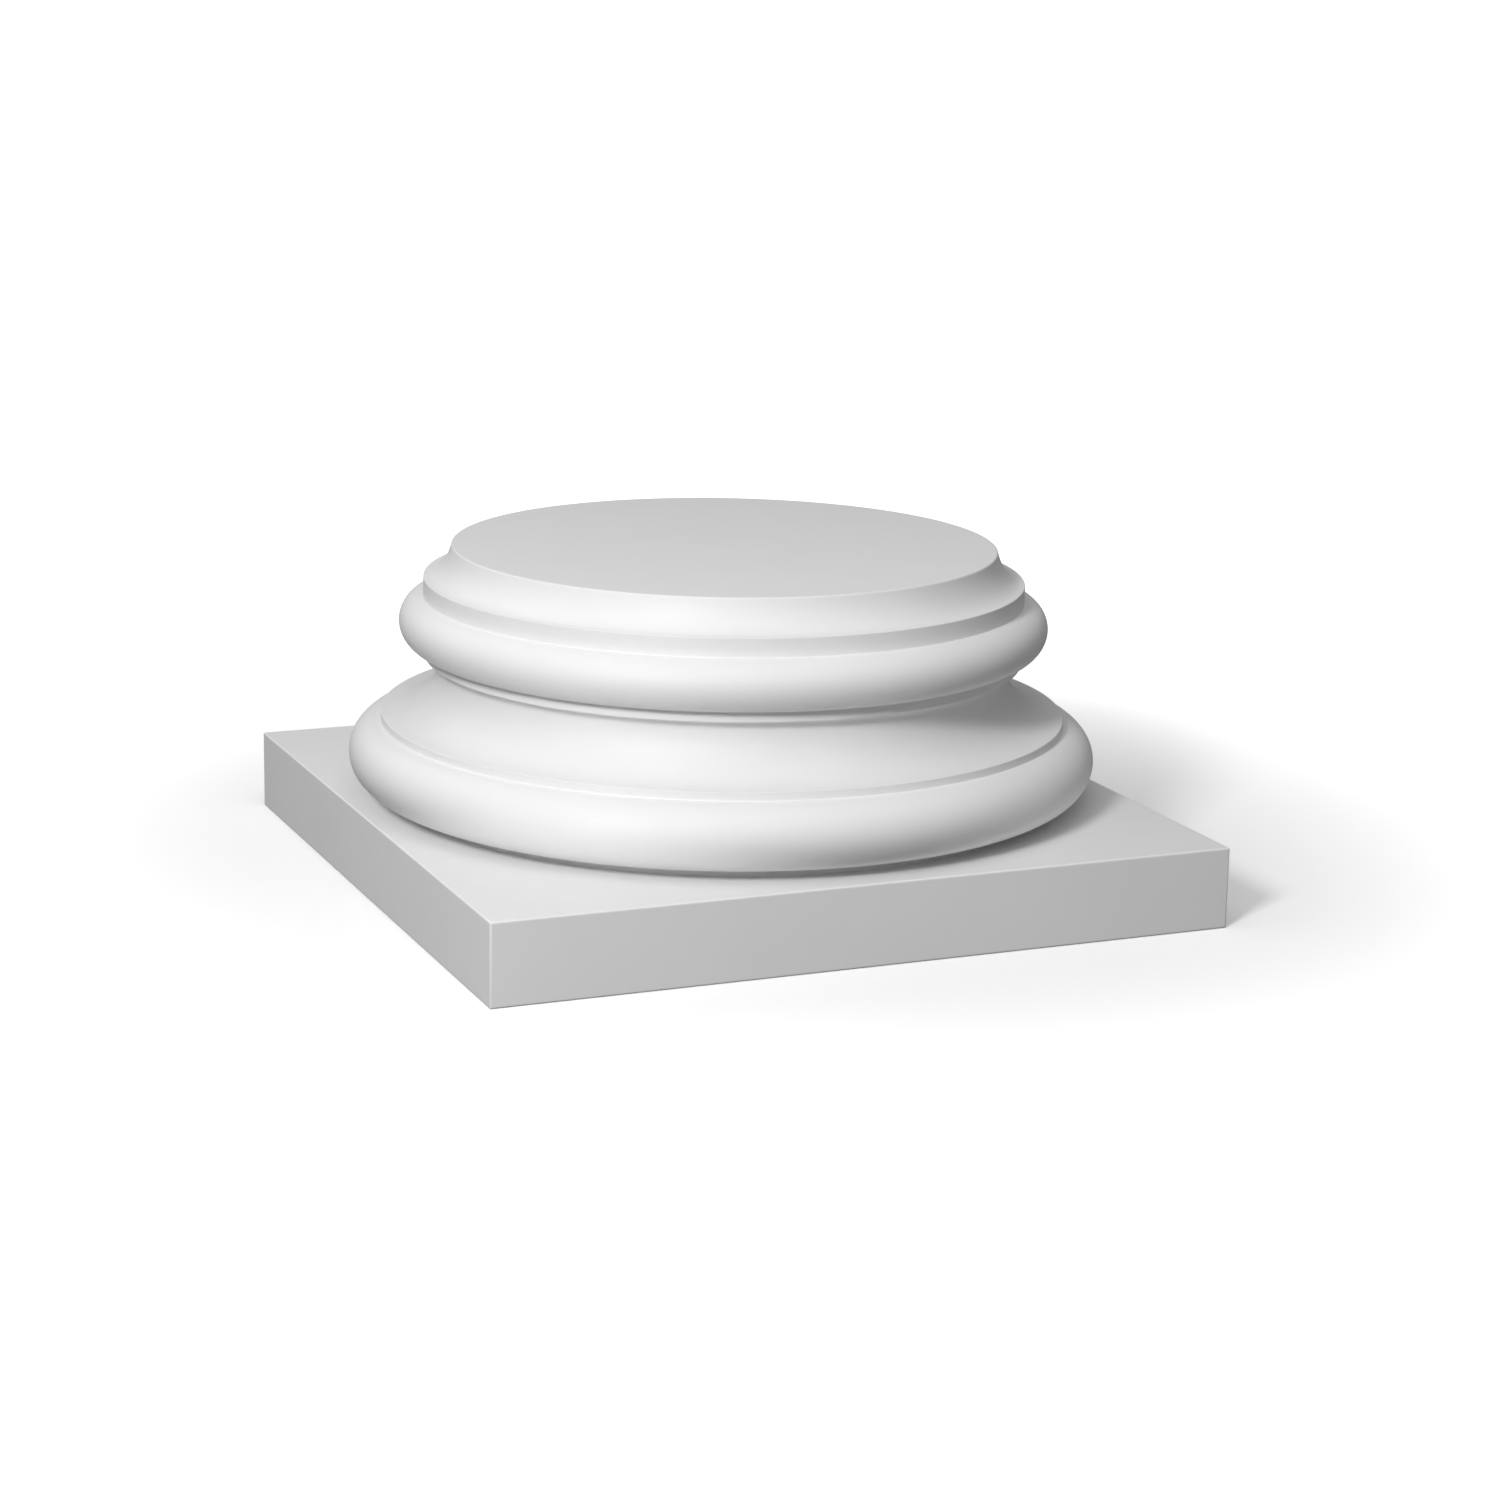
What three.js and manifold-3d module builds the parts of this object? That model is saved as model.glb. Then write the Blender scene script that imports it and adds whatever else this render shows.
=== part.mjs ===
// Column base of the attic kind, cast in one piece: a square plinth, a large torus, a scotia
// between two fillets, a smaller torus, a fillet and a cavetto that ends in the round seat for
// the shaft. Millimetres, +Z up. The origin is the centre of the underside, and the sides of
// the plinth run along X and Y.
import * as THREE from 'three';
import { mergeVertices } from 'three/addons/utils/BufferGeometryUtils.js';
import Module from 'manifold-3d';

// Driving dimensions
const PLINTH_SIDE = 385;
const PLINTH_THICKNESS = 41.2;
const TOTAL_HEIGHT = 170;
const SEAT_RADIUS = 140;
const PLINTH_CORNER_RADIUS = 1.5;
const PLINTH_EDGE_RADIUS = 1;
const FILLET_EDGE_RADIUS = 0.5;
const SEAT_EDGE_RADIUS = 0.9;

// The neck is the low step that lifts the lower torus off the plinth and leaves a dark line there.
const NECK_RADIUS = 169.8;
const NECK_HEIGHT = 4.8;
const LOWER_TORUS_SECTION = 16.9;
const LOWER_FILLET_RADIUS = 176.2;
const LOWER_FILLET_TOP = 84.1;

// The scotia is two arcs that meet at its deepest ring, a flat wide one below and a small one above.
const SCOTIA_RADIUS = 147.6;
const SCOTIA_UPPER_ARC = 5.5;
const MIDDLE_FILLET_RADIUS = 153.6;
const MIDDLE_FILLET_BOTTOM = 112.3;
const MIDDLE_FILLET_HEIGHT = 5.5;

const UPPER_TORUS_SECTION = 13;
const UPPER_TORUS_RADIUS = 166.7;
const UPPER_FILLET_RADIUS = 154.2;
const UPPER_FILLET_TOP = 153.5;

// The cavetto doesn't quite reach the upright: under the seat it still leans in
const CAVETTO_LEAN = 13;

// Facets
const TURN_FACETS = 96;
const LOWER_TORUS_FACETS = 11;
const UPPER_TORUS_FACETS = 9;
const SCOTIA_FACETS = 8;
const SCOTIA_RETURN_FACETS = 3;
const CAVETTO_FACETS = 6;
const EDGE_FACETS = 2;

// How far the turned part reaches down into the plinth, so that the two join into one body
const ROOT_DEPTH = 10;

const degrees = Math.PI / 180;

// Points of an arc in the section plane (x is the radius, y is the height), ends included
function arc(centreX, centreY, radiusX, radiusY, fromDegrees, toDegrees, facets) {
  const points = [];
  for (let i = 0; i <= facets; i += 1) {
    const angle = (fromDegrees + ((toDegrees - fromDegrees) * i) / facets) * degrees;
    points.push(new THREE.Vector2(
      centreX + radiusX * Math.cos(angle),
      centreY + radiusY * Math.sin(angle),
    ));
  }
  return points;
}

// The upper, outer edge of a fillet, rounded from its face onto its top
function roundedTopEdge(radius, top) {
  const round = FILLET_EDGE_RADIUS;
  return arc(radius - round, top - round, round, round, 0, 90, EDGE_FACETS);
}

// Half-round roll between two vertical faces: it starts on the lower face and ends on the upper
function torusProfile(centreRadius, centreHeight, section, lowerFace, upperFace, facets) {
  const start = Math.acos((lowerFace - centreRadius) / section) / degrees;
  const end = Math.acos((upperFace - centreRadius) / section) / degrees;
  return arc(centreRadius, centreHeight, section, section, -start, end, facets);
}

// The lower torus swells out to the line of the plinth's sides
function lowerTorus() {
  const centreRadius = PLINTH_SIDE / 2 - LOWER_TORUS_SECTION;
  const centreHeight = PLINTH_THICKNESS + NECK_HEIGHT + LOWER_TORUS_SECTION;
  return torusProfile(
    centreRadius, centreHeight, LOWER_TORUS_SECTION, NECK_RADIUS, LOWER_FILLET_RADIUS, LOWER_TORUS_FACETS,
  );
}

// Lower fillet edge, then the wide arc in and up to the deepest ring, then the small arc back
// out to the underside of the middle fillet
function scotia() {
  const deepestHeight = MIDDLE_FILLET_BOTTOM - SCOTIA_UPPER_ARC;
  const lipRadius = LOWER_FILLET_RADIUS - FILLET_EDGE_RADIUS;
  const wide = arc(
    lipRadius, deepestHeight, lipRadius - SCOTIA_RADIUS, deepestHeight - LOWER_FILLET_TOP,
    270, 180, SCOTIA_FACETS,
  );
  const small = arc(
    MIDDLE_FILLET_RADIUS, deepestHeight, MIDDLE_FILLET_RADIUS - SCOTIA_RADIUS, SCOTIA_UPPER_ARC,
    180, 90, SCOTIA_RETURN_FACETS,
  );
  return [
    ...roundedTopEdge(LOWER_FILLET_RADIUS, LOWER_FILLET_TOP),
    ...wide.slice(1),
    ...small.slice(1),
  ];
}

function upperTorus() {
  const centreHeight = MIDDLE_FILLET_BOTTOM + MIDDLE_FILLET_HEIGHT + UPPER_TORUS_SECTION;
  return torusProfile(
    UPPER_TORUS_RADIUS - UPPER_TORUS_SECTION, centreHeight, UPPER_TORUS_SECTION,
    MIDDLE_FILLET_RADIUS, UPPER_FILLET_RADIUS, UPPER_TORUS_FACETS,
  );
}

// Upper fillet edge, then the hollow that rises to the seat. It is the part of an ellipse's
// quarter that ends where the surface leans in by the given angle.
function cavetto() {
  const lipRadius = UPPER_FILLET_RADIUS - FILLET_EDGE_RADIUS;
  const lean = CAVETTO_LEAN * degrees;
  const across = lipRadius - SEAT_RADIUS;
  const up = TOTAL_HEIGHT - SEAT_EDGE_RADIUS * (1 - Math.sin(lean)) - UPPER_FILLET_TOP;
  const share = (Math.tan(lean) * up) / across;
  const turn = Math.acos(share / (1 - share));
  const radiusUp = up / (1 - Math.cos(turn));
  const radiusAcross = across / Math.sin(turn);
  const hollow = arc(
    lipRadius, UPPER_FILLET_TOP + radiusUp, radiusAcross, radiusUp,
    270, 270 - turn / degrees, CAVETTO_FACETS,
  );
  return [...roundedTopEdge(UPPER_FILLET_RADIUS, UPPER_FILLET_TOP), ...hollow.slice(1)];
}

// The edge of the seat, rounded from the leaning end of the cavetto onto the level top
function seatEdge() {
  const lean = CAVETTO_LEAN * degrees;
  const centreRadius = SEAT_RADIUS - SEAT_EDGE_RADIUS * Math.cos(lean);
  const centreHeight = TOTAL_HEIGHT - SEAT_EDGE_RADIUS;
  return arc(
    centreRadius, centreHeight, SEAT_EDGE_RADIUS, SEAT_EDGE_RADIUS, CAVETTO_LEAN, 90, EDGE_FACETS,
  );
}

// The whole section, from the axis below to the axis above
function turnedProfile() {
  const root = PLINTH_THICKNESS - ROOT_DEPTH;
  return [
    new THREE.Vector2(0, root),
    new THREE.Vector2(NECK_RADIUS, root),
    ...lowerTorus(),
    ...scotia(),
    ...upperTorus(),
    ...cavetto(),
    ...seatEdge().slice(1),
    new THREE.Vector2(0, TOTAL_HEIGHT),
  ];
}

// A lathe turns about Y, so the result is tipped upright
function turnedGeometry() {
  const geometry = new THREE.LatheGeometry(turnedProfile(), TURN_FACETS);
  geometry.rotateX(Math.PI / 2);
  return geometry;
}

// Square slab with all its edges rounded
function plinthGeometry() {
  const inner = PLINTH_SIDE / 2 - PLINTH_CORNER_RADIUS;
  const shape = new THREE.Shape();
  shape.moveTo(PLINTH_SIDE / 2, -inner);
  for (let corner = 0; corner < 4; corner += 1) {
    const turn = corner * 90 * degrees;
    const x = inner * (Math.cos(turn) - Math.sin(turn));
    const y = inner * (Math.sin(turn) + Math.cos(turn));
    shape.absarc(x, y, PLINTH_CORNER_RADIUS, turn, turn + 90 * degrees);
  }
  const geometry = new THREE.ExtrudeGeometry(shape, {
    depth: PLINTH_THICKNESS - 2 * PLINTH_EDGE_RADIUS,
    curveSegments: EDGE_FACETS,
    bevelEnabled: true,
    bevelThickness: PLINTH_EDGE_RADIUS,
    bevelSize: PLINTH_EDGE_RADIUS,
    bevelOffset: -PLINTH_EDGE_RADIUS,
    bevelSegments: EDGE_FACETS,
  });
  geometry.translate(0, 0, PLINTH_EDGE_RADIUS);
  return geometry;
}

const wasm = await Module();
wasm.setup();

// A closed geometry as a solid that can be joined or cut
function solidOf(geometry) {
  const bare = geometry.clone();
  bare.deleteAttribute('normal');
  bare.deleteAttribute('uv');
  const merged = mergeVertices(bare, 1e-3);
  return new wasm.Manifold(new wasm.Mesh({
    numProp: 3,
    vertProperties: new Float32Array(merged.attributes.position.array),
    triVerts: new Uint32Array(merged.index.array),
  }));
}

function geometryOf(solid) {
  const mesh = solid.getMesh();
  const geometry = new THREE.BufferGeometry();
  geometry.setAttribute('position', new THREE.BufferAttribute(mesh.vertProperties, 3));
  geometry.setIndex(new THREE.BufferAttribute(mesh.triVerts, 1));
  geometry.computeVertexNormals();
  return geometry;
}

function columnBase() {
  const body = solidOf(plinthGeometry()).add(solidOf(turnedGeometry()));
  const primedFoam = new THREE.MeshStandardMaterial({ color: '#ebebeb', roughness: 0.55, metalness: 0 });
  const mesh = new THREE.Mesh(geometryOf(body), primedFoam);
  mesh.name = 'column_base';
  return mesh;
}

const group = new THREE.Group();
group.add(columnBase());

export default group;
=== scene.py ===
# %% [markdown]
# A column base in white primed foam
#
# This lesson makes the lowest part of a classical column: a square plinth with round mouldings
# on it, cast in one piece. From the floor up they are the plinth, a neck, a large torus (a
# half-round roll), a fillet (a narrow upright band), a scotia (a hollow), a second fillet, a
# smaller torus, a third fillet, a cavetto (a quarter hollow) and the flat seat for the shaft.
# The model of its construction is loaded first. It stays where it is, and the fine surface is
# made around the same axis, in metres, with +Z up and the floor at zero.

# %% Load the construction model
import math

import bmesh
import bpy
from mathutils import Matrix, Vector


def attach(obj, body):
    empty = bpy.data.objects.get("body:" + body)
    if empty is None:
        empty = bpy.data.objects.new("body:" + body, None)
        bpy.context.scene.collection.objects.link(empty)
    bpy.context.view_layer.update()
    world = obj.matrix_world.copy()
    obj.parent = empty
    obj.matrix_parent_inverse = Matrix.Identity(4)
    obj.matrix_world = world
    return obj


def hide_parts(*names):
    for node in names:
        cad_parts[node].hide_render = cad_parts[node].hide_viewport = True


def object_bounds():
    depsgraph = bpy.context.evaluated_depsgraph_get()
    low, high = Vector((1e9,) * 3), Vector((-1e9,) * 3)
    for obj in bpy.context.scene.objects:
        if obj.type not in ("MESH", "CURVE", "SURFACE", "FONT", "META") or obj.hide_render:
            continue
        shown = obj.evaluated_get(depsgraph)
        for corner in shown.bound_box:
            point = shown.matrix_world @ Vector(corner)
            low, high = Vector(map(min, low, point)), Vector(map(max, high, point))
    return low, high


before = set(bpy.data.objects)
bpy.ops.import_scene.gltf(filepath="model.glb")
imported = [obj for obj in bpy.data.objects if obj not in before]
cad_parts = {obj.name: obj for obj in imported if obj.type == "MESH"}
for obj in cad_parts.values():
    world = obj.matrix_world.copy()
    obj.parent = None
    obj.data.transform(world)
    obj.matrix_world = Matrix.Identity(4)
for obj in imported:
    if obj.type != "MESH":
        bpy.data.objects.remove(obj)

cad_low, cad_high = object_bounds()
print("construction model from", list(cad_low), "to", list(cad_high))

# %% [markdown]
# The camera
#
# The camera comes early, because everything else is judged through it. The base is seen from
# a little above and from the left of its front, so that the front and left sides of the plinth
# both show. A long lens from about two metres keeps the sides of the square nearly parallel, as
# in a product picture. The lens has no shift and everything is in focus.

# %% Camera
CAMERA_PLACE = (-0.6794, -1.6178, 0.4942)
CAMERA_TURN_DEGREES = (76.14, -1.08, -23.00)
LENS_MM = 83.36
SENSOR_MM = 36


def add_camera():
    """The camera at the angle of the picture."""
    data = bpy.data.cameras.new("picture_camera")
    data.sensor_width = SENSOR_MM
    data.lens = LENS_MM
    camera = bpy.data.objects.new("picture_camera", data)
    camera.location = CAMERA_PLACE
    camera.rotation_euler = [math.radians(turn) for turn in CAMERA_TURN_DEGREES]
    bpy.context.scene.collection.objects.link(camera)
    bpy.context.scene.camera = camera
    return camera


camera = add_camera()
print("camera at", list(camera.location), "with a", LENS_MM, "mm lens")

# %% [markdown]
# A pen for the section
#
# A base like this usually comes out of a mould made from a turned pattern, so all its round
# mouldings have one section, the outline that a cut through the axis would show. It could be
# drawn as a curve, but in a bmesh it can be drawn with the same operators that make the rest:
# extruding a vertex draws a straight edge, and spinning a vertex about a point draws an arc.
# The section lies in the XZ plane, with the radius along X and the height along Z. Each
# function below starts at the pen, the last vertex drawn, and hands back the new one.

# %% Section tools
MM = 0.001


def line_to(section, pen, radius, height):
    """Draws one straight edge from the pen."""
    made = bmesh.ops.extrude_vert_indiv(section, verts=[pen])
    tip = made["verts"][0]
    tip.co = (radius, 0, height)
    return tip


def arc_about(section, pen, centre_radius, centre_height, angle, steps):
    """Swings the pen about a centre, and a positive angle goes up on the outside."""
    centre = (centre_radius, 0, centre_height)
    made = bmesh.ops.spin(
        section, geom=[pen], cent=centre, axis=(0, -1, 0), angle=angle, steps=steps,
    )
    return made["geom_last"][0]


# %% [markdown]
# Straight stretches
#
# Smooth shading blends the directions of the faces on both sides of a vertex. Next to a rounded
# edge that would bend the light on a flat face, so a straight stretch gets a holding point just
# inside each of its ends. The blend then stays within that first fraction of a millimetre.

# %% Held line
HOLD = 0.6 * MM


def held_line_to(section, pen, radius, height):
    """Draws a straight stretch with a holding point near each end."""
    start = pen.co.copy()
    end = Vector((radius, 0, height))
    inward = (end - start).normalized() * HOLD
    for point in (start + inward, end - inward, end):
        pen = line_to(section, pen, point.x, point.z)
    return pen


# %% [markdown]
# Rolls, hollows and edges
#
# A roll is an arc from the face under it to the face over it. A hollow is part of an ellipse:
# an arc whose centre is straight above the pen, pulled in towards the axis until it reaches the
# radius it has to end at. It ends upright, or leans in by a few degrees. The outer edge of a
# fillet is a quarter circle of about half a millimetre, because neither a mould nor a coat of
# primer keeps a knife edge.

# %% Moulding tools
FILLET_EDGE = 0.45 * MM
EDGE_STEPS = 5


def roll_foot(centre_radius, centre_height, size, face_radius):
    """Height at which a roll leaves the upright face under it."""
    return centre_height - math.sqrt(size**2 - (face_radius - centre_radius) ** 2)


def roll_to(section, pen, centre_radius, centre_height, face_radius, steps):
    """Swings the pen outwards and up, until it is over the upright face above the roll."""
    across = pen.co.x - centre_radius
    below = pen.co.z - centre_height
    size = math.hypot(across, below)
    start = math.atan2(below, across)
    end = math.acos((face_radius - centre_radius) / size)
    return arc_about(section, pen, centre_radius, centre_height, end - start, steps)


def hollow_to(section, pen, radius, height, steps, lean=0):
    """Draws a hollow that leaves the pen level and ends at the radius and height."""
    across = pen.co.x - radius
    up = height - pen.co.z
    share = math.tan(lean) * up / across
    turn = math.acos(share / (1 - share))
    centre = Vector((pen.co.x, 0, pen.co.z + up / (1 - math.cos(turn))))
    before = set(section.verts)
    tip = arc_about(section, pen, centre.x, centre.z, -turn, steps)
    drawn = [vertex for vertex in section.verts if vertex not in before]
    pull = across / (centre.x - tip.co.x)
    bmesh.ops.scale(section, vec=(pull, 1, 1), space=Matrix.Translation(-centre), verts=drawn)
    return tip


def edge_round(section, pen, size, lean=0):
    """Turns the pen over a rounded outer edge, from its lean off the upright to level."""
    centre = pen.co - Vector((math.cos(lean), 0, math.sin(lean))) * size
    return arc_about(section, pen, centre.x, centre.z, math.pi / 2 - lean, EDGE_STEPS)


# %% [markdown]
# The neck and the large torus
#
# The large torus swells out to the line of the plinth's sides, so its widest radius comes from
# the construction model. It doesn't stand on the plinth with its whole width: a neck almost five
# millimetres high lifts it. In the picture it is only seen as the dark line at the foot of the
# torus, so it is the least certain part of the section. The corners where two mouldings meet
# are kept in a list, to be eased together afterwards.

# %% Draw the neck and the large torus
PLINTH_HALF = cad_high.x
TOTAL_HEIGHT = cad_high.z
PLINTH_THICKNESS = 41.2 * MM
NECK_RADIUS = 169.8 * MM
NECK_HEIGHT = 4.8 * MM
LARGE_ROLL = 16.9 * MM
LARGE_ROLL_STEPS = 48
LOWER_FILLET_RADIUS = 176.2 * MM

section = bmesh.new()
creases = []

pen = section.verts.new((NECK_RADIUS, 0, PLINTH_THICKNESS))
large_centre = PLINTH_HALF - LARGE_ROLL
large_height = PLINTH_THICKNESS + NECK_HEIGHT + LARGE_ROLL
large_foot = roll_foot(large_centre, large_height, LARGE_ROLL, NECK_RADIUS)
pen = held_line_to(section, pen, NECK_RADIUS, large_foot)
creases.append(pen)
pen = roll_to(section, pen, large_centre, large_height, LOWER_FILLET_RADIUS, LARGE_ROLL_STEPS)
creases.append(pen)
print("large torus ends at", round(pen.co.z / MM, 1), "mm")

# %% [markdown]
# The lower fillet and the scotia
#
# Above the torus stands a thin fillet, and behind its edge the scotia sinks away. The scotia is
# two hollows that meet at its deepest ring: a wide flat one that rises from the fillet, and a
# small one that returns under the middle fillet, whose lower edge is rounded like the others.
# Its shape carries most of the play of light on a base, so it gets many steps.

# %% Draw the lower fillet and the scotia
LOWER_FILLET_TOP = 84.1 * MM
SCOTIA_RADIUS = 147.6 * MM
SCOTIA_RETURN = 5.5 * MM
SCOTIA_STEPS = 36
SCOTIA_RETURN_STEPS = 10
MIDDLE_FILLET_BOTTOM = 112.3 * MM

pen = held_line_to(section, pen, LOWER_FILLET_RADIUS, LOWER_FILLET_TOP - FILLET_EDGE)
pen = edge_round(section, pen, FILLET_EDGE)
deepest = MIDDLE_FILLET_BOTTOM - SCOTIA_RETURN
pen = hollow_to(section, pen, SCOTIA_RADIUS, deepest, SCOTIA_STEPS)
return_centre = SCOTIA_RADIUS + SCOTIA_RETURN
pen = arc_about(section, pen, return_centre, deepest, -math.pi / 2, SCOTIA_RETURN_STEPS)
pen = arc_about(section, pen, pen.co.x, pen.co.z + FILLET_EDGE, math.pi / 2, EDGE_STEPS)
middle_fillet_radius = pen.co.x
print("scotia from", LOWER_FILLET_TOP / MM, "to", MIDDLE_FILLET_BOTTOM / MM, "mm")

# %% [markdown]
# The middle fillet and the small torus
#
# The small torus hangs over the middle fillet by more than a centimetre and throws its shadow
# there. It is drawn like the large one, with its own size.

# %% Draw the middle fillet and the small torus
SMALL_ROLL = 13 * MM
SMALL_ROLL_RADIUS = 166.7 * MM
SMALL_ROLL_STEPS = 40
SMALL_ROLL_BOTTOM = 117.8 * MM
UPPER_FILLET_RADIUS = 154.2 * MM

small_centre = SMALL_ROLL_RADIUS - SMALL_ROLL
small_height = SMALL_ROLL_BOTTOM + SMALL_ROLL
small_foot = roll_foot(small_centre, small_height, SMALL_ROLL, middle_fillet_radius)
pen = held_line_to(section, pen, middle_fillet_radius, small_foot)
creases.append(pen)
pen = roll_to(section, pen, small_centre, small_height, UPPER_FILLET_RADIUS, SMALL_ROLL_STEPS)
creases.append(pen)
print("small torus from", round(small_foot / MM, 1), "to", round(pen.co.z / MM, 1), "mm")

# %% [markdown]
# The upper fillet, the cavetto and the seat
#
# The cavetto rises from the upper fillet to the edge of the seat, where the shaft of the column
# will stand. It doesn't quite reach the upright, and still leans in by 13 degrees under the
# seat, which is read from its shading. The seat is flat up to its rounded edge. Its stretch ends
# on the axis, so that the turned surface closes there.

# %% Draw the upper fillet, the cavetto and the seat
UPPER_FILLET_TOP = 153.5 * MM
SEAT_RADIUS = 140 * MM
SEAT_EDGE = 0.9 * MM
CAVETTO_LEAN = math.radians(13)
CAVETTO_STEPS = 24

pen = held_line_to(section, pen, UPPER_FILLET_RADIUS, UPPER_FILLET_TOP - FILLET_EDGE)
pen = edge_round(section, pen, FILLET_EDGE)
cavetto_top = TOTAL_HEIGHT - SEAT_EDGE * (1 - math.sin(CAVETTO_LEAN))
pen = hollow_to(section, pen, SEAT_RADIUS, cavetto_top, CAVETTO_STEPS, CAVETTO_LEAN)
pen = edge_round(section, pen, SEAT_EDGE, CAVETTO_LEAN)
pen = held_line_to(section, pen, 0, TOTAL_HEIGHT)
print("section of", len(section.verts), "points, up to", round(pen.co.z / MM, 1), "mm")

# %% [markdown]
# Ease the creases
#
# A mould tool can't cut a perfectly sharp inner corner, and primer settles in it. A bevel of
# vertices turns each kept corner of the section into a small arc, before the section is turned.

# %% Ease the creases
CREASE_RADIUS = 0.22 * MM
CREASE_STEPS = 3

bmesh.ops.bevel(
    section, geom=creases, offset=CREASE_RADIUS, offset_type="OFFSET", segments=CREASE_STEPS,
    profile=0.5, affect="VERTICES", material=-1, clamp_overlap=True,
)
print("section of", len(section.verts), "points with", len(creases), "eased creases")

# %% [markdown]
# Turn the section
#
# A full spin about the axis makes the surface. The last turn is merged into the first, and the
# point on the axis, which was copied at every step, is merged into one closed pole. The number
# of steps is a multiple of four, so that each side of the square plinth gets a whole share.

# %% Turn the section
TURN_STEPS = 288
MERGE = 0.02 * MM

base = section
bmesh.ops.spin(
    base, geom=base.verts[:] + base.edges[:], cent=(0, 0, 0), axis=(0, 0, 1),
    angle=2 * math.pi, steps=TURN_STEPS, use_merge=True,
)
bmesh.ops.remove_doubles(base, verts=base.verts, dist=MERGE)
print("turned part of", len(base.faces), "faces")

# %% [markdown]
# The top of the plinth
#
# The plinth is cast with the mouldings, so there is no joint between them. A circle is laid on
# the foot of the neck and a square outline with as many points round it. A bridge between the
# two makes the flat top of the plinth, and merging the circle with the foot of the neck makes
# one surface of both.

# %% Lay, bridge and merge the top of the plinth
PLINTH_SIDES = 4

corner_reach = PLINTH_HALF * math.sqrt(2)
corner_turn = Matrix.Rotation(math.pi / PLINTH_SIDES, 3, "Z")
circle = bmesh.ops.create_circle(base, segments=TURN_STEPS, radius=NECK_RADIUS)["verts"]
square = bmesh.ops.create_circle(base, segments=PLINTH_SIDES, radius=corner_reach)["verts"]
bmesh.ops.rotate(base, verts=square, cent=(0, 0, 0), matrix=corner_turn)
bmesh.ops.translate(base, verts=circle + square, vec=(0, 0, PLINTH_THICKNESS))
# Each side is met from both its corners, and is kept once, in the order in which it is met
sides = list(dict.fromkeys(edge for vertex in square for edge in vertex.link_edges))
bmesh.ops.subdivide_edges(base, edges=sides, cuts=TURN_STEPS // PLINTH_SIDES - 1)
bmesh.ops.bridge_loops(base, edges=[edge for edge in base.edges if edge.is_wire])
bmesh.ops.remove_doubles(base, verts=base.verts, dist=MERGE)
outline = [edge for edge in base.edges if edge.is_boundary]
print("top of the plinth with an open outline of", len(outline), "edges")

# %% [markdown]
# The sides and the underside of the plinth
#
# The outline is extruded straight down to the floor, and the last loop is filled for the
# underside. The photograph doesn't show it, so it is flat, as a face that is glued down is.

# %% Extrude the sides and close the underside
made = bmesh.ops.extrude_edge_only(base, edges=outline)["geom"]
lowered = [part for part in made if isinstance(part, bmesh.types.BMVert)]
bmesh.ops.translate(base, verts=lowered, vec=(0, 0, -PLINTH_THICKNESS))
rim = [edge for edge in base.edges if edge.is_boundary]
bmesh.ops.edgeloop_fill(base, edges=rim)
bmesh.ops.recalc_face_normals(base, faces=base.faces)
print("closed with", len([edge for edge in base.edges if not edge.is_manifold]), "open edges left")

# %% [markdown]
# Round the edges of the plinth
#
# The twelve edges of the slab are rounded by almost a millimetre, which shows as a thin bright
# line round its top. The inner corner where the neck stands on it is eased like the other
# creases. Both are found by the angle between their two faces.

# %% Round the edges of the plinth
PLINTH_EDGE = 0.8 * MM
PLINTH_EDGE_STEPS = 5
SQUARE_CORNER = math.radians(80)
REACH = 0.01 * MM


def on_plinth_side(vertex):
    """True for a vertex on one of the four upright sides."""
    return max(abs(vertex.co.x), abs(vertex.co.y)) > PLINTH_HALF - REACH


def bevel_edges(mesh, edges, size, steps):
    """Rounds edges with the same kind of bevel everywhere."""
    bmesh.ops.bevel(
        mesh, geom=edges, offset=size, offset_type="OFFSET", segments=steps,
        profile=0.5, affect="EDGES", material=-1, clamp_overlap=True,
    )


sharp = [edge for edge in base.edges if edge.calc_face_angle() > SQUARE_CORNER]
slab_edges = [edge for edge in sharp if all(on_plinth_side(vertex) for vertex in edge.verts)]
neck_crease = [edge for edge in sharp if edge not in slab_edges]
bevel_edges(base, slab_edges, PLINTH_EDGE, PLINTH_EDGE_STEPS)
bevel_edges(base, neck_crease, CREASE_RADIUS, CREASE_STEPS)
print("rounded", len(slab_edges), "edges of the slab and", len(neck_crease), "of the neck")

# %% [markdown]
# Hold the flats of the plinth
#
# The flat faces of the slab get the same holding line as the straight stretches of the section:
# a narrow inset just inside their edges, which keeps their shading flat.

# %% Hold the flats
FLAT = 0.99999
SMALLEST_FLAT = (3 * MM) ** 2


def flat_faces(mesh, direction):
    """The faces of the slab that look exactly in one direction."""
    return [
        face for face in mesh.faces
        if face.normal.dot(direction) > FLAT
        and face.calc_area() > SMALLEST_FLAT
        and all(vertex.co.z < PLINTH_THICKNESS + REACH for vertex in face.verts)
    ]


for direction in ((1, 0, 0), (-1, 0, 0), (0, 1, 0), (0, -1, 0), (0, 0, 1), (0, 0, -1)):
    flats = flat_faces(base, Vector(direction))
    bmesh.ops.inset_region(base, faces=flats, thickness=HOLD, use_even_offset=True)
    print("held", len(flats), "flat faces that look along", direction)
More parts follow.
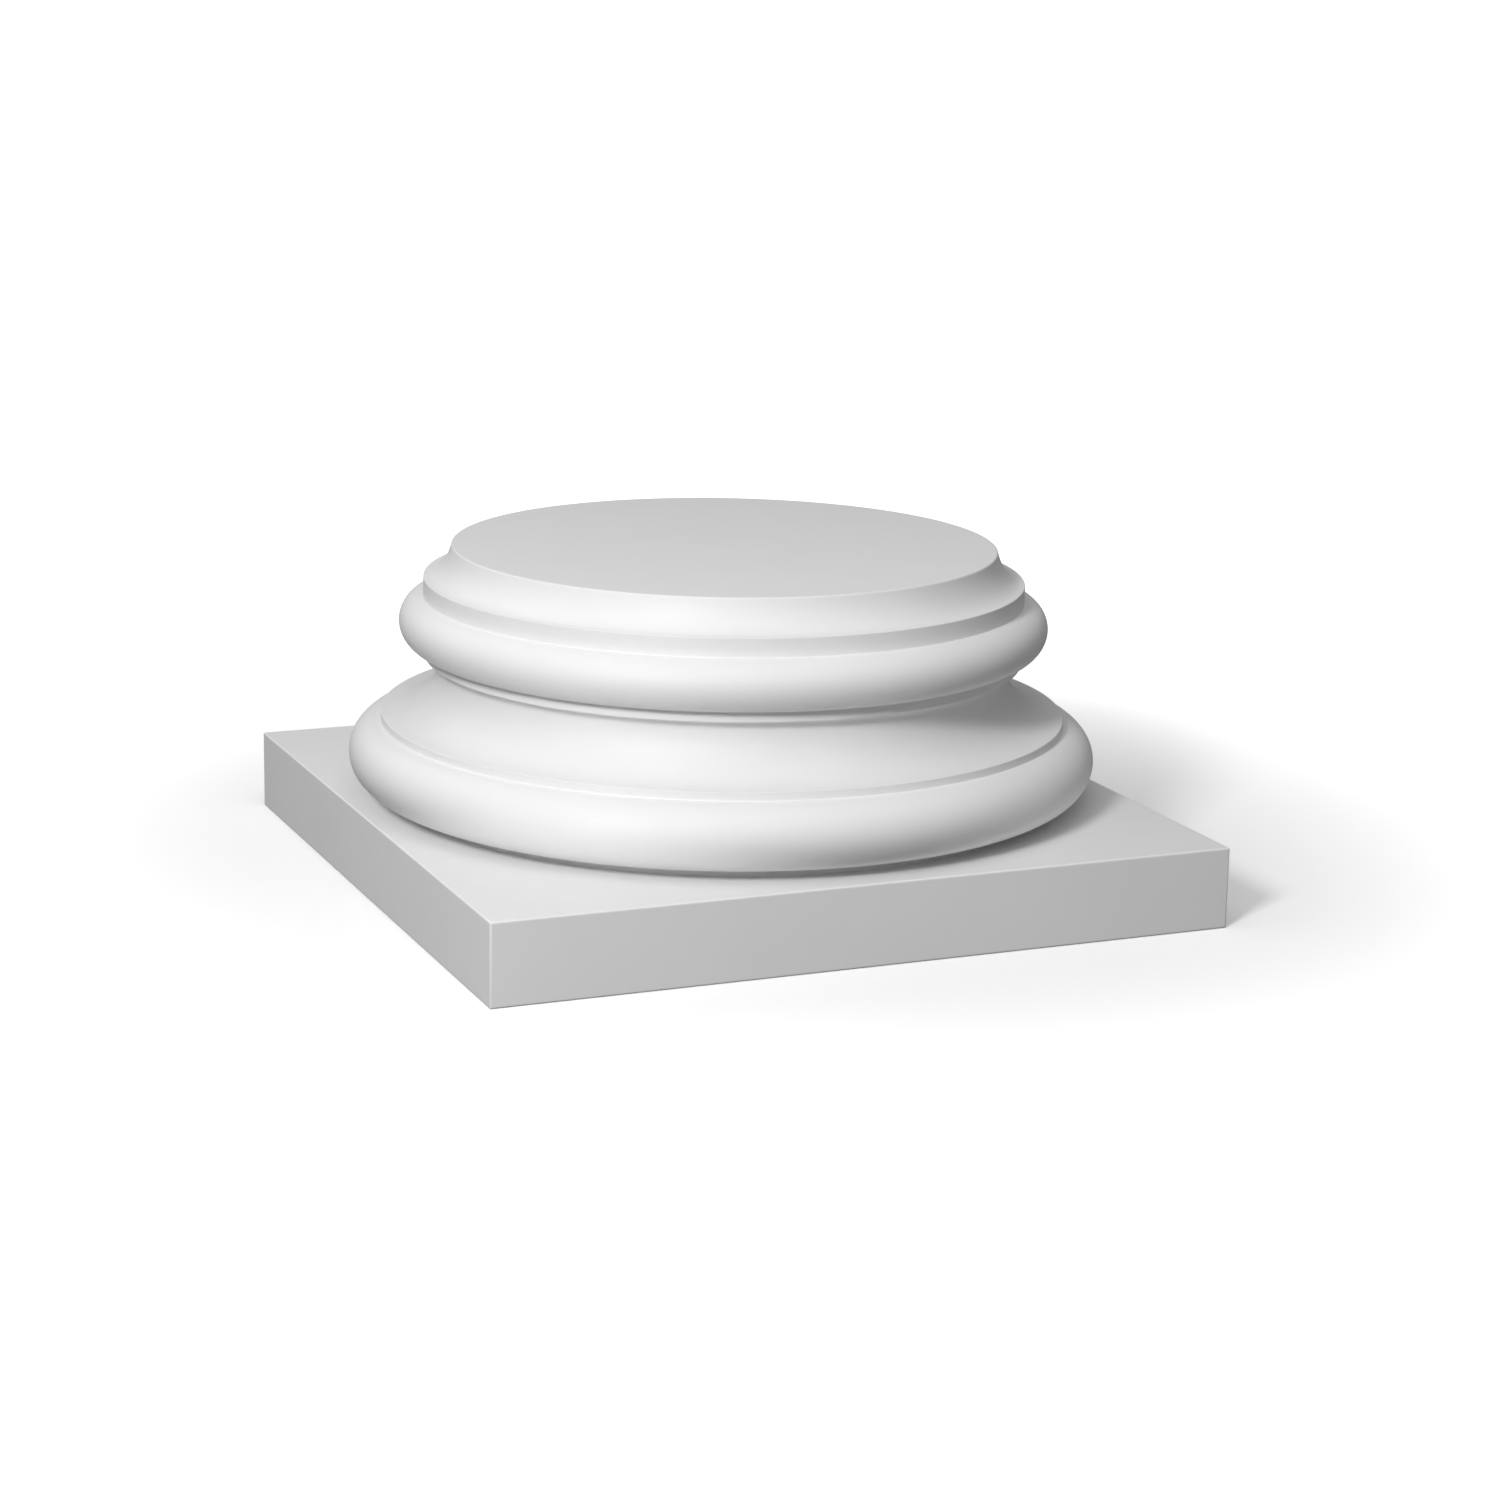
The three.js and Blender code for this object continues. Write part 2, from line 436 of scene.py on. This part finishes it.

# %% [markdown]
# One closed casting
#
# The finished mesh becomes one piece. It stands for the node of the construction model and rides
# on its only body. Its object stays at the origin, so that patterns worked out from object
# coordinates sit still on it.

# %% Make the casting
def finish_piece(mesh, name):
    """Turns a bmesh into a smooth shaded object at the origin."""
    bmesh.ops.recalc_face_normals(mesh, faces=mesh.faces)
    for face in mesh.faces:
        face.smooth = True
    data = bpy.data.meshes.new(name)
    mesh.to_mesh(data)
    mesh.free()
    piece = bpy.data.objects.new(name, data)
    bpy.context.scene.collection.objects.link(piece)
    return piece


casting = finish_piece(base, "column_base_casting")
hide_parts("column_base")
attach(casting, "root")
triangles = sum(len(polygon.vertices) - 2 for polygon in casting.data.polygons)
print("casting of", triangles, "triangles")

# %% [markdown]
# Nodes for the finish
#
# Every finish here is a small net of shader nodes. Two helpers keep it readable: one turns an
# sRGB colour, as a colour picker gives it, into the linear numbers that Blender works in, and
# one adds a node with its settings and its links in a single call.

# %% Material tools
def linear(colour):
    """An sRGB hex colour as the linear numbers that Blender works in."""
    channels = [int(colour[i:i + 2], 16) / 255 for i in (1, 3, 5)]
    return [c / 12.92 if c <= 0.04045 else ((c + 0.055) / 1.055) ** 2.4 for c in channels] + [1]


def add_node(owner, kind, settings=(), links=()):
    """Adds a node, sets its properties or sockets by name, and links sockets into it."""
    node = owner.node_tree.nodes.new(kind)
    for name, value in dict(settings).items():
        if name in node.inputs:
            node.inputs[name].default_value = value
        else:
            setattr(node, name, value)
    for name, socket in dict(links).items():
        owner.node_tree.links.new(socket, node.inputs[name])
    return node


# %% [markdown]
# White primer on foam
#
# The base is taken to be rigid polyurethane foam, cast in a mould, where it forms a dense, smooth
# skin, and then sprayed with a matt white primer. In the picture the finish is one even white. A
# casting made like that has four faint marks, which are assumed here and kept weak, because the
# picture is too small to show them: the coat is a shade thicker or thinner from place to place,
# its drops level out into an orange peel, the skin under it waves slowly where the foam has
# shrunk, and it shines a little more where the coat is wet and thick.
#
# A painted picture could carry all this, but it would need the mesh unwrapped. Noise worked out
# from object coordinates runs through the mouldings without a seam, and takes its scale from a
# size in millimetres, so noise is used here.

# %% Primer
METRE_MM = 1000
COAT_SPREAD_MM = 75
COAT_DETAIL = 3
COAT_LOW = 0.3
COAT_HIGH = 0.7
PRIMER_THIN = "#e9e9e9"
PRIMER_THICK = "#ededed"
DRY_ROUGHNESS = 0.68
WET_ROUGHNESS = 0.56
PRIMER_IOR = 1.5
WAVE_MM = 42
WAVE_DETAIL = 1
WAVE_DEPTH_MM = 0.05
# Real orange peel is about a millimetre wide, which is two pixels, so it is drawn wider
PEEL_MM = 2.4
PEEL_DETAIL = 2
PEEL_DEPTH_MM = 0.008


def noise(material, place, size_mm, detail):
    """Noise whose patches have about the given size in millimetres."""
    settings = {"Scale": METRE_MM / size_mm, "Detail": detail}
    return add_node(material, "ShaderNodeTexNoise", settings, {"Vector": place}).outputs["Fac"]


def primed_foam():
    """Matt white primer, sprayed on cast polyurethane foam: even, with a soft, broad sheen."""
    material = bpy.data.materials.new("primed_cast_polyurethane")
    material.use_nodes = True
    shader = material.node_tree.nodes["Principled BSDF"]
    shader.inputs["IOR"].default_value = PRIMER_IOR
    place = add_node(material, "ShaderNodeTexCoord").outputs["Object"]

    # Thick and thin places in the coat, a hand's width apart, in tone and in sheen
    coat = noise(material, place, COAT_SPREAD_MM, COAT_DETAIL)
    tone = add_node(material, "ShaderNodeValToRGB", links={"Fac": coat})
    tone.color_ramp.elements[0].position = COAT_LOW
    tone.color_ramp.elements[0].color = linear(PRIMER_THIN)
    tone.color_ramp.elements[1].position = COAT_HIGH
    tone.color_ramp.elements[1].color = linear(PRIMER_THICK)
    sheen = add_node(
        material, "ShaderNodeMapRange",
        {"From Min": COAT_LOW, "From Max": COAT_HIGH, "To Min": DRY_ROUGHNESS, "To Max": WET_ROUGHNESS},
        {"Value": coat},
    )

    # Slow waves of the cast skin, with the orange peel of the spray on top of them
    waves = noise(material, place, WAVE_MM, WAVE_DETAIL)
    skin = add_node(material, "ShaderNodeBump", {"Distance": WAVE_DEPTH_MM * MM}, {"Height": waves})
    drops = noise(material, place, PEEL_MM, PEEL_DETAIL)
    peel = add_node(
        material, "ShaderNodeBump", {"Distance": PEEL_DEPTH_MM * MM},
        {"Height": drops, "Normal": skin.outputs["Normal"]},
    )
    for socket, output in (
        ("Base Color", tone.outputs["Color"]),
        ("Roughness", sheen.outputs["Result"]),
        ("Normal", peel.outputs["Normal"]),
    ):
        material.node_tree.links.new(output, shader.inputs[socket])
    return material


primer = primed_foam()
casting.data.materials.append(primer)
print("primer of", len(primer.node_tree.nodes), "nodes")

# %% [markdown]
# The floor
#
# In the picture the base is cut out on plain white with a soft grey halo all round it, and no
# ground is seen. The halo isn't made. A floor is, so that the base stands on something, and it
# takes a soft shadow that the picture doesn't have. White paper in a studio would also throw
# light back up under the mouldings, and in the picture their undersides are dark. So this floor
# is seen by the camera, but it lights nothing. Close to the base it is matt paper. Further out
# it fades into a glow of plain white, which keeps the floor even where the lights fall off, and
# hides the horizon. The lengths are metres from the axis.

# %% Floor
FLOOR_RADIUS = 60
FLOOR_WHITE = "#fbfbfb"
FLOOR_GLOW_NEAR = 0.08
FLOOR_GLOW_FAR = 1.0
FLOOR_FADE_START = 0.18
FLOOR_FADE_END = 0.75


def studio_paper():
    """Matt white paper that fades into plain white away from the base."""
    material = bpy.data.materials.new("matt_white_paper")
    material.use_nodes = True
    shader = material.node_tree.nodes["Principled BSDF"]
    shader.inputs["Base Color"].default_value = linear(FLOOR_WHITE)
    shader.inputs["Roughness"].default_value = 1.0
    shader.inputs["Specular IOR Level"].default_value = 0
    shader.inputs["Emission Color"].default_value = (1, 1, 1, 1)
    place = add_node(material, "ShaderNodeTexCoord").outputs["Object"]
    distance = add_node(material, "ShaderNodeVectorMath", {"operation": "LENGTH"}, {0: place})
    glow = add_node(
        material, "ShaderNodeMapRange",
        {
            "interpolation_type": "SMOOTHSTEP",
            "From Min": FLOOR_FADE_START, "From Max": FLOOR_FADE_END,
            "To Min": FLOOR_GLOW_NEAR, "To Max": FLOOR_GLOW_FAR,
        },
        {"Value": distance.outputs["Value"]},
    )
    material.node_tree.links.new(glow.outputs["Result"], shader.inputs["Emission Strength"])
    return material


def add_floor():
    """A large round sheet at height zero that the camera sees and the base doesn't."""
    mesh = bmesh.new()
    bmesh.ops.create_circle(mesh, cap_ends=True, segments=TURN_STEPS, radius=FLOOR_RADIUS)
    data = bpy.data.meshes.new("studio_floor")
    mesh.to_mesh(data)
    mesh.free()
    data.materials.append(studio_paper())
    sheet = bpy.data.objects.new("studio_floor", data)
    sheet.visible_diffuse = False
    sheet.visible_glossy = False
    bpy.context.scene.collection.objects.link(sheet)
    return sheet


floor = add_floor()
print(floor.name, 2 * FLOOR_RADIUS, "m across")

# %% [markdown]
# The lights
#
# The shadows in the picture give hints of where its light came from. The small torus throws a
# shadow down and to the right, with an edge that is soft over a few millimetres. The flat seat
# is a little darker than the rolls that face the front, and nothing is quite black. One
# arrangement that fits is a softbox low and to the left of the camera, a weak wide one high up
# in front, a weaker one behind on the left that keeps the far side readable, and the pale
# ceiling and walls of the room. Others fit about as well, so it isn't known to be the real one.
# Each softbox looks at the middle of the base. Its bearing is counted in degrees from the +X
# axis, against the clock, and its distance and size are metres.

# %% Softboxes
LIGHT_DISTANCE = 1.8
KEY_BEARING = 226
KEY_ELEVATION = 29
KEY_SIZE = 0.32
KEY_WATTS = 19.3
HIGH_BEARING = 245
HIGH_ELEVATION = 65
HIGH_SIZE = 1.2
HIGH_WATTS = 5.7
BACK_BEARING = 120
BACK_ELEVATION = 30
BACK_SIZE = 0.8
BACK_WATTS = 3.3


def add_light(name, bearing, elevation, distance, size, watts):
    """A square softbox that looks at the middle of the base."""
    data = bpy.data.lights.new(name, "AREA")
    data.shape = "SQUARE"
    data.size = size
    data.energy = watts
    light = bpy.data.objects.new(name, data)
    across = math.radians(bearing)
    up = math.radians(elevation)
    toward = Vector((math.cos(across) * math.cos(up), math.sin(across) * math.cos(up), math.sin(up)))
    light.location = Vector((0, 0, TOTAL_HEIGHT / 2)) + toward * distance
    light.rotation_euler = toward.to_track_quat("Z", "Y").to_euler()
    bpy.context.scene.collection.objects.link(light)
    return light


for name, bearing, elevation, size, watts in (
    ("key_softbox", KEY_BEARING, KEY_ELEVATION, KEY_SIZE, KEY_WATTS),
    ("high_softbox", HIGH_BEARING, HIGH_ELEVATION, HIGH_SIZE, HIGH_WATTS),
    ("back_softbox", BACK_BEARING, BACK_ELEVATION, BACK_SIZE, BACK_WATTS),
):
    softbox = add_light(name, bearing, elevation, LIGHT_DISTANCE, size, watts)
    print(name, "at", [round(place, 2) for place in softbox.location], "with", watts, "watts")

# %% [markdown]
# The room
#
# The walls and the ceiling of the room fill the shadows, more from above than from below. The
# camera sees plain white behind the floor, so the node that knows whether a ray comes straight
# from the camera chooses between that white and the dim room. The colours are shown as they
# are, without a film look, because the picture's whites are plain whites too.

# %% Room
ROOM_BELOW = 0.02
ROOM_ABOVE = 0.35
BACKDROP = 1.0


def add_room():
    """An even fill that grows from the floor to the ceiling, behind plain white."""
    world = bpy.data.worlds.new("studio_room")
    world.use_nodes = True
    room = world.node_tree.nodes["Background"]
    room.inputs["Color"].default_value = (1, 1, 1, 1)
    direction = add_node(world, "ShaderNodeTexCoord").outputs["Generated"]
    height = add_node(world, "ShaderNodeSeparateXYZ", links={"Vector": direction}).outputs["Z"]
    fill = add_node(
        world, "ShaderNodeMapRange",
        {"From Min": -1, "From Max": 1, "To Min": ROOM_BELOW, "To Max": ROOM_ABOVE},
        {"Value": height},
    ).outputs["Result"]
    seen = add_node(world, "ShaderNodeLightPath").outputs["Is Camera Ray"]
    strength = add_node(
        world, "ShaderNodeMapRange", {"To Max": BACKDROP}, {"Value": seen, "To Min": fill},
    ).outputs["Result"]
    world.node_tree.links.new(strength, room.inputs["Strength"])
    return world


bpy.context.scene.world = add_room()
bpy.context.scene.view_settings.view_transform = "Standard"
print("room between", ROOM_BELOW, "below and", ROOM_ABOVE, "above")
